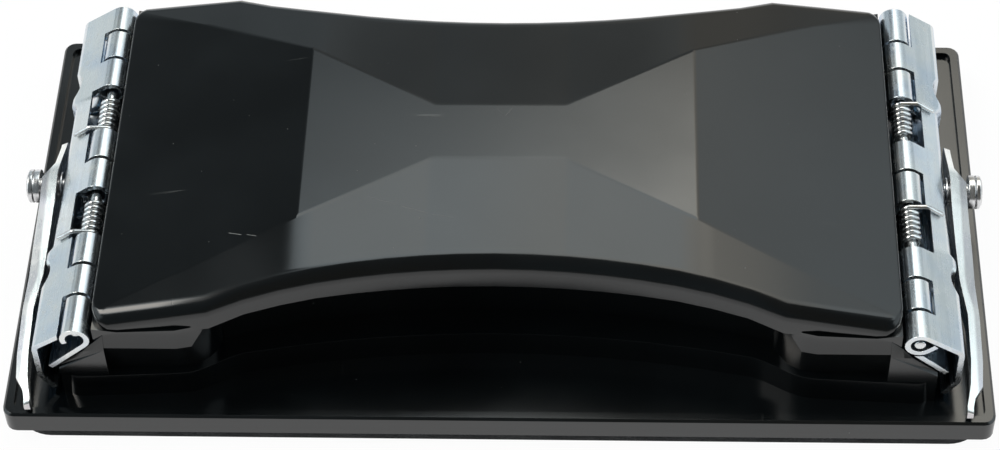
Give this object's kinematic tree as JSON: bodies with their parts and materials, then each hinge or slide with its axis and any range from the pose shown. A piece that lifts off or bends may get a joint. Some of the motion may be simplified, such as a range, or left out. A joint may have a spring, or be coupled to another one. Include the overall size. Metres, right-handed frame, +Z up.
{
  "type": "hand sanding block",
  "caption": "Waisted black grip on a flat padded plate, with a sprung hinged clamp and a cam lever at each end to hold a strip of abrasive paper.",
  "frame": {"origin": "centre of the foam pad's lower face, which rests on the work", "axes": "+X along the block towards the right clamp, +Z up out of the pad, -Y the side both lever arms point to"},
  "size_m": [0.165, 0.085, 0.0316],
  "materials": {
    "body_plastic": "black moulded plastic, satin gloss",
    "cover_plastic": "black moulded plastic, polished, lightly scratched",
    "pad_foam": "black closed-cell foam rubber, matt",
    "jaw_steel": "bright zinc-plated pressed steel",
    "leaf_steel": "bright zinc-plated pressed steel",
    "lever_steel": "bright zinc-plated pressed steel",
    "pin_steel": "plain drawn steel wire",
    "spring_steel": "plated spring wire",
    "rivet_steel": "plated steel, turned head",
    "screw_steel": "plated steel"
  },
  "bodies": {
    "block": {"base_plate": "body_plastic", "grip_cover": "cover_plastic", "foam_pad": "pad_foam", "cover_screw_1": "screw_steel", "cover_screw_2": "screw_steel", "cover_screw_3": "screw_steel", "cover_screw_4": "screw_steel", "left_fixed_leaf": "leaf_steel", "left_leaf_rivet_rear": "screw_steel", "left_leaf_rivet_front": "screw_steel", "left_hinge_pin": "pin_steel", "left_spring_rear": "spring_steel", "left_spring_front": "spring_steel", "right_fixed_leaf": "leaf_steel", "right_leaf_rivet_rear": "screw_steel", "right_leaf_rivet_front": "screw_steel", "right_hinge_pin": "pin_steel", "right_spring_rear": "spring_steel", "right_spring_front": "spring_steel"},
    "left_clamp": {"left_jaw": "jaw_steel", "left_lever_rivet": "rivet_steel"},
    "left_lever_arm": {"left_lever": "lever_steel"},
    "right_clamp": {"right_jaw": "jaw_steel", "right_lever_rivet": "rivet_steel"},
    "right_lever_arm": {"right_lever": "lever_steel"}
  },
  "joints": [
    {"name": "left_jaw_hinge", "type": "hinge", "parent": "block", "child": "left_clamp", "pos_m": [-0.0691, 0, 0.02085], "axis": [0, 1, 0], "range_deg": [0, 18], "stiffness_Nm_per_rad": 0.05, "springref_deg": -20.05, "deforming": ["left_spring_rear", "left_spring_front"]},
    {"name": "left_lever_pivot", "type": "hinge", "parent": "left_clamp", "child": "left_lever_arm", "pos_m": [-0.0772, 0, 0.0164], "axis": [-1, 0, 0], "range_deg": [0, 90]},
    {"name": "right_jaw_hinge", "type": "hinge", "parent": "block", "child": "right_clamp", "pos_m": [0.0691, 0, 0.02085], "axis": [0, -1, 0], "range_deg": [0, 18], "stiffness_Nm_per_rad": 0.05, "springref_deg": -20.05, "deforming": ["right_spring_rear", "right_spring_front"]},
    {"name": "right_lever_pivot", "type": "hinge", "parent": "right_clamp", "child": "right_lever_arm", "pos_m": [0.0772, 0, 0.0164], "axis": [-1, 0, 0], "range_deg": [0, 90]}
  ],
  "couplings": [
    {"joint": "left_jaw_hinge", "follows": "left_lever_pivot", "ratio": 0.2},
    {"joint": "right_jaw_hinge", "follows": "right_lever_pivot", "ratio": 0.2}
  ]
}
